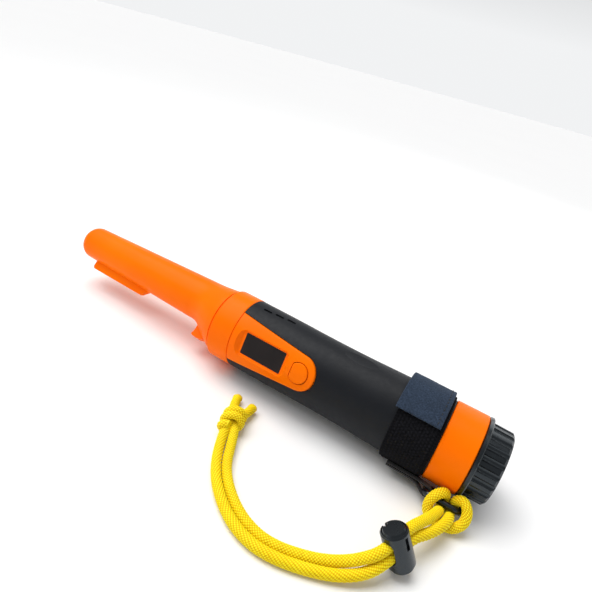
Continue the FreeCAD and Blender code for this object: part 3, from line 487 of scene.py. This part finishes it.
wraps = []
for name, shift, phase, turns, rad_, tilt in (("knot_strand_a", -0.0019, 0.7, 1.55, 0.0040, 0.0013), ("knot_strand_b", 0.0021, 0.7, 1.55, 0.0039, 0.0013)):
    w = braid_tube(name, wrap_line(shift, phase, turns, rad_, tilt=tilt), 0.00202, cols=8, cell=0.00132, depth=0.00036, around=48, flat=(1, 1, 0.92))
    wraps.append(w)


def melted_end(name, pts, radius, seed):
    """Melted and pinched cord end: a lumpy bead a little wider than the cord."""
    tip, back = Vector(pts[-1]), Vector(pts[-8])
    d = (tip - back).normalized()
    s1 = d.cross(Vector((0, 0, 1))).normalized()
    s2 = s1.cross(d)
    rings, around, verts, faces = 9, 28, [], []
    prof = [(-0.0010, 0.90), (-0.0007, 1.03), (-0.0002, 1.07), (0.0003, 1.05), (0.0007, 0.96), (0.0010, 0.80), (0.00125, 0.56), (0.00138, 0.3), (0.0014, 0.1)]
    for h, k in prof:
        for j in range(around):
            ph = 2 * math.pi * j / around
            wob = 1 + 0.09 * noise.noise(Vector((math.cos(ph) * 1.7, math.sin(ph) * 1.7, h * 900 + seed)))
            r = radius * k * wob
            verts.append(tip + d * (h + 0.00025 * noise.noise(Vector((math.cos(ph) * 2, math.sin(ph) * 2, seed)))) + s1 * (math.cos(ph) * r) + s2 * (math.sin(ph) * r * 0.88))
    for i in range(rings - 1):
        for j in range(around):
            j2 = (j + 1) % around
            faces.append((i * around + j2, i * around + j, (i + 1) * around + j, (i + 1) * around + j2))
    faces.append(tuple(range(around)))
    faces.append(tuple(reversed(range((rings - 1) * around, rings * around))))
    return mesh_object(name, verts, faces, MELT)


end_a = melted_end("cord_end_a", line_a, CORD_D / 2, 3.0)
end_b = melted_end("cord_end_b", line_b, CORD_D / 2, 8.0)

for o in (cord_a, cord_b, *wraps, end_a, end_b):
    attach(o, "probe")
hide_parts("lanyard_a")
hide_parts("lanyard_b")
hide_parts("lanyard_knot")


# ------------------------------------------------------------------ strap
def fbm(x, y, z, k):
    return noise.fractal(Vector((x * k, y * k, z * k)), 0.6, 2.0, 3)


def strip(name, x0, x1, r0, r1, th0, th1, top, mat, attr, dx=0.0003, dth=0.8, lift=None, closed=False, soft=0.00035):
    """Cloth bent round the handle, with its own thickness, rounded edges and a relief on its outer side."""
    nx = max(4, int(round((x1 - x0) / dx)))
    nth = int(round((th1 - th0) / dth))
    xs = np.linspace(x0, x1, nx + 1)
    ths = np.linspace(th0, th1, nth + (0 if closed else 1), endpoint=not closed)
    verts, val = [], []
    inner_x = np.linspace(x1, x0, 9)
    for th in ths:
        lf = lift(th) if lift else 0.0
        for x in xs:
            edge = min(x - x0, x1 - x)
            if not closed:
                edge = min(edge, math.radians(abs(th - th0)) * r1, math.radians(abs(th1 - th)) * r1)
            rd = soft - math.sqrt(max(0.0, soft ** 2 - max(0.0, soft - edge) ** 2)) if edge < soft else 0.0
            h, v = top(x, th, edge)
            verts.append(on_handle(x, r1 + h + lf - rd, th))
            val.append(v)
        for x in inner_x:
            edge = min(x - x0, x1 - x)
            rd = 0.0003 if edge < 1e-6 else 0.0
            verts.append(on_handle(x, r0 + rd + lf, th))
            val.append(0.3)
    k = nx + 1 + len(inner_x)
    faces = []
    n = len(ths)
    for i in range(n if closed else n - 1):
        a, b = i * k, ((i + 1) % n) * k
        for j in range(k):
            j2 = (j + 1) % k
            faces.append((a + j, b + j, b + j2, a + j2))
    if not closed:
        faces.append(tuple(range(k)))
        faces.append(tuple(reversed(range((n - 1) * k, n * k))))
    o = mesh_object(name, verts, faces, mat)
    point_value(o.data, attr, val)
    return o


BX0, BX1, BR0, BR1 = 0.0823, 0.1027, 0.0190, 0.02045


def pile_top(x, th, edge):
    """Rows of small loops, denser than they are tall, worn flat in places; plain selvedges."""
    s = math.radians(th) * BR1
    # The second value returned is the mask for the pile's painted shade and highlight: low in the hollows, high on the
    # loop tops and selvedge ribs.
    if edge < 0.0013:
        w = 0.5 + 0.5 * math.sin(s / 0.0007 * math.pi)
        return -0.00022 + 0.00004 * w, 0.25 + 0.3 * w
    row = (x - BX0) / 0.00145
    col = s / 0.00165 + 0.5 * (int(math.floor(row)) % 2)
    fx, fs = row - math.floor(row) - 0.5, col - math.floor(col) - 0.5
    d = math.sqrt((fx / 0.62) ** 2 + (fs / 0.58) ** 2)
    loop = max(0.0, 1 - d) ** 0.7
    n = fbm(x, math.cos(math.radians(th)) * BR1, math.sin(math.radians(th)) * BR1, 420)
    tuft = fbm(x + 0.3, math.cos(math.radians(th)) * BR1, math.sin(math.radians(th)) * BR1, 1500)
    return 0.00016 * loop * (1 + 0.5 * n) + 0.00005 * n + 0.00006 * tuft, max(0.0, min(1.0, 0.15 + 0.75 * loop + 0.35 * tuft))


band = strip("strap_pile", BX0, BX1, BR0, BR1, 0.0, 360.0, pile_top, M["loop_fabric"], "pile", dx=0.00029, dth=0.85, closed=True)
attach(band, "probe")
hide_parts("strap_band")

FX0, FX1, FR0, FR1 = 0.0809, 0.1017, 0.02092, 0.02212


def flap_lift(th):
    """The free edge stands a little off the pile."""
    if th < 66:
        u = (66 - th) / 22.5
        return 0.00085 * u * u
    return 0.0


def weave_top(x, th, edge):
    s = math.radians(th) * FR1
    u, v = x / 0.00082, s / 0.00082
    w = 0.5 + 0.5 * math.sin(u * math.pi) * math.sin(v * math.pi)
    y, z = math.cos(math.radians(th)) * FR1, math.sin(math.radians(th)) * FR1
    n = fbm(x, y, z, 90)
    f = fbm(x, y, z, 1300)
    groove = 0.0
    d = abs(x - (FX1 - 0.0020))
    if d < 0.0006:
        groove = -0.00010 * (1 - d / 0.0006)
    # The second value is the mask for the tape's painted shade: low where the weave dips, with noise.
    return 0.00004 * w + 0.00010 * n + 0.00004 * f + groove, max(0.0, min(1.0, 0.35 + 0.5 * w + 0.4 * f))


flap = strip("strap_flap_tape", FX0, FX1, FR0, FR1, 43.4, 174.0, weave_top, M["hook_fabric"], "weave", dx=0.00027, dth=0.75, lift=flap_lift, soft=0.0003)


def stitches(name, items, mat, r=0.00021, seg=8, rings=7):
    """Each item is (start, end, outward): one stitch, a short thread pulled in at both ends."""
    verts, faces = [], []
    for a, b, out in items:
        a, b, out = Vector(a), Vector(b), Vector(out).normalized()
        d = (b - a).normalized()
        side = d.cross(out)
        base = len(verts)
        for i in range(rings):
            u = i / (rings - 1)
            bulge = math.sin(math.pi * u)
            c = a.lerp(b, u) + out * (0.00020 * bulge - 0.00014)
            rr = r * (0.45 + 0.55 * bulge ** 0.6) if 0 < i < rings - 1 else r * 0.3
            for j in range(seg):
                ph = 2 * math.pi * j / seg
                verts.append(c + out * (math.cos(ph) * rr) + side * (math.sin(ph) * rr))
        for i in range(rings - 1):
            for j in range(seg):
                j2 = (j + 1) % seg
                faces.append((base + i * seg + j, base + i * seg + j2, base + (i + 1) * seg + j2, base + (i + 1) * seg + j))
        faces.append(tuple(reversed(range(base, base + seg))))
        faces.append(tuple(range(base + (rings - 1) * seg, base + rings * seg)))
    return mesh_object(name, verts, faces, mat)


def arc_stitches(x, r, th0, th1, pitch=5.9, long=4.0, lift=None):
    out = []
    n = int((th1 - th0) / pitch)
    for i in range(n):
        t0 = th0 + (i + 0.5) * (th1 - th0) / n - long / 2
        t1 = t0 + long
        rr0, rr1 = (r + (lift(t0) if lift else 0)), (r + (lift(t1) if lift else 0))
        o = on_handle(0, 1, (t0 + t1) / 2)
        out.append((on_handle(x, rr0, t0), on_handle(x, rr1, t1), (0, o[1], o[2] - AXIS)))
    return out


flap_st = stitches("strap_flap_stitches", arc_stitches(FX1 - 0.0020, FR1 + 0.00002, 45.5, 172.0, lift=flap_lift), THREAD)
for o in (flap, flap_st):
    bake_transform(o)
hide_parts("strap_flap", "strap_root")

# cross stitches where the tape is sewn to the band, low at the back
root_items = []
for x in np.arange(0.0822, 0.1006, 0.0021):
    o = on_handle(0, 1, 171.5)
    root_items.append((on_handle(x, FR1 + 0.00002, 171.0), on_handle(x + 0.0014, FR1 + 0.00002, 171.6), (0, o[1], o[2] - AXIS)))
root_st = stitches("strap_root_stitches", root_items, THREAD)
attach(root_st, "probe")

# webbing tab, folded round the ring's straight bar
DR_Y, DR_Z, VY, VZ = -0.0176, 0.0046, -0.872, 0.4895


def on_ring(p, q, k):
    return Vector((p - HALF, DR_Y + VY * q - VZ * k, DR_Z + VZ * q + VY * k))


tab_route = [(218.0, -2.02, -1.20), (222.0, -2.01, -1.18), (226.0, -2.00, -1.16), (230.0, -1.98, -1.08), (232.8, -1.80, -0.60), (234.8, -1.25, 0.45),
             (236.4, -0.55, 1.50), (238.0, -0.05, 2.02), (239.5, 0.0, 1.55), (240.2, 0.0, 0.10), (239.6, 0.0, -1.35), (238.2, -0.1, -2.02),
             (236.4, -0.7, -2.10), (234.6, -1.4, -2.15), (232.6, -1.9, -2.16), (229.0, -2.0, -2.16), (225.0, -2.01, -2.18), (221.0, -2.01, -2.18), (218.0, -2.02, -2.18)]


def smooth_line(route, per=8):
    r = [np.array(p, float) for p in route]
    out = []
    for i in range(len(r) - 1):
        p0, p1, p2, p3 = r[max(i - 1, 0)], r[i], r[i + 1], r[min(i + 2, len(r) - 1)]
        for j in range(per):
            t = j / per
            out.append(0.5 * (2 * p1 + (p2 - p0) * t + (2 * p0 - 5 * p1 + 4 * p2 - p3) * t * t + (3 * p1 - p0 - 3 * p2 + p3) * t ** 3))
    out.append(r[-1])
    return np.array(out)


def ribbon(name, route, width, thick, mat):
    """Flat webbing along a path of (p, q, k) in millimetres, its width along the ring's bar."""
    line = smooth_line(route) / 1000
    d = np.gradient(line[:, [0, 2]], axis=0)
    d /= np.linalg.norm(d, axis=1)[:, None]
    nrm = np.stack([-d[:, 1], d[:, 0]], 1)
    nw = 30
    verts, val, faces = [], [], []
    s = np.r_[0, np.cumsum(np.linalg.norm(np.diff(line, axis=0), axis=1))]
    prof = []
    for j in range(nw + 1):
        w = -width / 2 + width * j / nw
        prof.append((w, 1))
    for j in range(nw + 1):
        prof.append((width / 2 - width * j / nw, -1))
    for i, (p, q, k) in enumerate(line):
        for w, side in prof:
            e = width / 2 - abs(w)
            t = thick / 2 * (1 if e > 0.0004 else math.sqrt(max(0.05, 1 - ((0.0004 - e) / 0.0004) ** 2)))
            # rib is also the mask for the webbing's painted shade and highlight
            rib = 0.5 + 0.5 * math.sin(w / 0.00075 * 2 * math.pi) * math.sin(s[i] / 0.0011 * 2 * math.pi)
            t += 0.00004 * (rib - 0.5)
            verts.append(on_ring(p + nrm[i, 0] * t * side, q + w, k + nrm[i, 1] * t * side))
            val.append(rib)
    n, m = len(prof), len(line)
    for i in range(m - 1):
        for j in range(n):
            j2 = (j + 1) % n
            faces.append((i * n + j, i * n + j2, (i + 1) * n + j2, (i + 1) * n + j))
    faces.append(tuple(reversed(range(n))))
    faces.append(tuple(range((m - 1) * n, m * n)))
    o = mesh_object(name, verts, faces, mat)
    point_value(o.data, "weave", val)
    return o


tab = ribbon("strap_tab_webbing", tab_route, 0.0066, 0.00082, M["webbing"])
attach(tab, "probe")
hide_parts("strap_tab")
tab_items = []
for p in (219.4, 221.6, 223.8, 226.0, 228.2):
    for q0, q1, sgn in ((-2.7, -0.9, 1), (0.9, 2.7, 1)):
        tab_items.append((on_ring(p / 1000, (-2.01 + q0) / 1000, (-0.76) / 1000), on_ring((p + 0.9) / 1000, (-2.01 + q1) / 1000, (-0.76) / 1000), (0, -VZ, VY)))
tab_st = stitches("strap_tab_stitches", tab_items, THREAD)
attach(tab_st, "probe")

# ------------------------------------------------------------------ lock spring, given a mesh of its own
coil = nodes["lock_spring"]
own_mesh(coil)

# ------------------------------------------------------------------ stage and light
def floor_mat():
    m, nt, b = new_mat("studio_floor")
    co = node(nt, "ShaderNodeTexCoord").outputs["Object"]
    nt.links.new(mix_col(nt, noise_tex(nt, co, 3.0, 2.0), (0.90, 0.90, 0.905), (0.92, 0.92, 0.922)), b.inputs["Base Color"])
    b.inputs["Roughness"].default_value = 0.85
    b.inputs["Specular IOR Level"].default_value = 0.1
    return m


n = 96
fverts = [(math.cos(2 * math.pi * i / n) * 9, math.sin(2 * math.pi * i / n) * 9, 0) for i in range(n)]
floor = mesh_object("studio_floor", fverts, [tuple(range(n))], floor_mat(), smooth=False)

world = bpy.data.worlds.new("studio")
scene.world = world
world.use_nodes = True
wt = world.node_tree
bg = wt.nodes["Background"]
bg.inputs["Color"].default_value = (0.98, 0.99, 1.0, 1)
wz = node(wt, "ShaderNodeSeparateXYZ")
wt.links.new(node(wt, "ShaderNodeTexCoord").outputs["Generated"], wz.inputs[0])
wt.links.new(ramp(wt, wz.outputs["Z"], 0.10, 0.40, 0.90, 0.38), bg.inputs["Strength"])


def sun(name, loc, strength, angle, colour=(1, 1, 1)):
    d = bpy.data.lights.new(name, "SUN")
    d.energy = strength
    d.angle = angle
    d.color = colour
    o = link(bpy.data.objects.new(name, d))
    o.rotation_mode = "QUATERNION"
    o.rotation_quaternion = (-Vector(loc)).to_track_quat("-Z", "Y")
    return o


def area(name, loc, target, size, power, colour=(1, 1, 1)):
    d = bpy.data.lights.new(name, "AREA")
    d.shape = "DISK"
    d.size = size
    d.energy = power
    d.color = colour
    o = link(bpy.data.objects.new(name, d))
    o.location = loc
    o.rotation_mode = "QUATERNION"
    o.rotation_quaternion = (Vector(target) - Vector(loc)).to_track_quat("-Z", "Y")
    return o


sun("key", (-0.38, 0.10, 1.0), 2.2, 0.75, (1.0, 0.995, 0.985))
area("left_box", (-0.40, -0.30, 0.60), (0.02, -0.02, 0.0), 0.40, 1.4)
area("rim_box", (0.20, 0.70, 0.50), (0.02, 0.0, 0.0), 0.55, 1.2)
